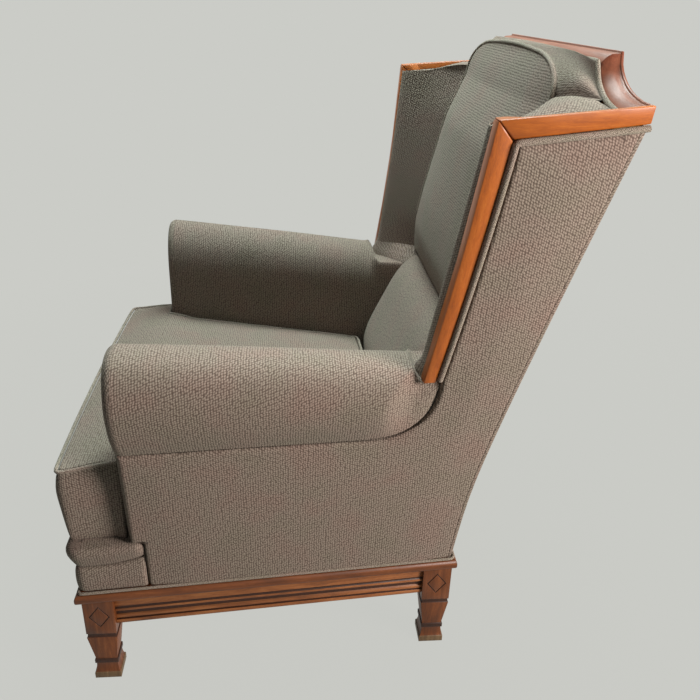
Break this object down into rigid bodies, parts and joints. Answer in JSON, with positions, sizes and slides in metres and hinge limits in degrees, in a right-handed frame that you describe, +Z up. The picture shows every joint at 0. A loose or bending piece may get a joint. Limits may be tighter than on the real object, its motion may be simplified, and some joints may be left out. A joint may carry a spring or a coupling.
{
  "type": "upholstered wing armchair",
  "caption": "Fireside wing armchair with rolled arms, a T-shaped loose seat cushion, show-wood wing edges, a moulded crest and square tapered legs.",
  "frame": {"origin": "on the floor, under the middle of the chair's box", "axes": "+Z up, the chair faces -Y, +X is the sitter's left"},
  "size_m": [0.844, 0.838, 1.072],
  "materials": {
    "dark_wood": "dark stained hardwood, satin varnish",
    "rail_wood": "red-brown stained hardwood, satin varnish",
    "crest_wood": "red-brown stained hardwood, polished",
    "edge_wood": "orange-brown hardwood, polished",
    "frame_wood": "raw beech",
    "upholstery": "ribbed taupe chenille",
    "piping": "ribbed taupe chenille over cord",
    "spring_steel": "plain spring wire",
    "felt": "needled felt",
    "webbing": "woven webbing",
    "dust_cloth": "black non-woven cloth"
  },
  "bodies": {
    "frame": {"leg_front_left": "dark_wood", "leg_front_right": "dark_wood", "leg_rear_left": "dark_wood", "leg_rear_right": "dark_wood", "apron_front": "rail_wood", "apron_rear": "rail_wood", "apron_left": "rail_wood", "apron_right": "rail_wood", "plinth_front": "dark_wood", "plinth_rear": "dark_wood", "plinth_left": "dark_wood", "plinth_right": "dark_wood", "base_piping": "piping", "seat_rail_front": "frame_wood", "seat_rail_rear": "frame_wood", "seat_rail_left": "frame_wood", "seat_rail_right": "frame_wood", "corner_blocks": "frame_wood", "frame_screws": "spring_steel", "seat_springs": "spring_steel", "spring_clips": "spring_steel", "seat_platform": "felt", "dust_cover": "dust_cloth", "front_band": "upholstery", "front_bolster": "upholstery", "arm_pad_left": "upholstery", "arm_pad_right": "upholstery", "arm_front_left": "upholstery", "arm_front_right": "upholstery", "arm_stump_left": "frame_wood", "arm_stump_right": "frame_wood", "arm_rail_left": "frame_wood", "arm_rail_right": "frame_wood", "outside_panel_left": "upholstery", "outside_panel_right": "upholstery", "wing_edge_front_left": "edge_wood", "wing_edge_front_right": "edge_wood", "wing_edge_top_left": "edge_wood", "wing_edge_top_right": "edge_wood", "wing_pad_left": "upholstery", "wing_pad_right": "upholstery", "wing_piping_left": "piping", "wing_piping_right": "piping", "back_post_left": "frame_wood", "back_post_right": "frame_wood", "back_top_rail": "frame_wood", "back_bottom_rail": "frame_wood", "back_webbing": "webbing", "back_pad": "upholstery", "back_pad_piping": "piping", "lumbar_pad": "upholstery", "outside_back": "upholstery", "crest_middle": "crest_wood", "crest_end_left": "crest_wood", "crest_end_right": "crest_wood", "crest_piping": "piping"},
    "cushion": {"seat_cushion": "upholstery", "seat_piping": "piping"}
  },
  "joints": [
    {"name": "cushion_lift", "type": "slide", "parent": "frame", "child": "cushion", "axis": [0, 0, 1], "range_m": [0, 0.12]}
  ]
}
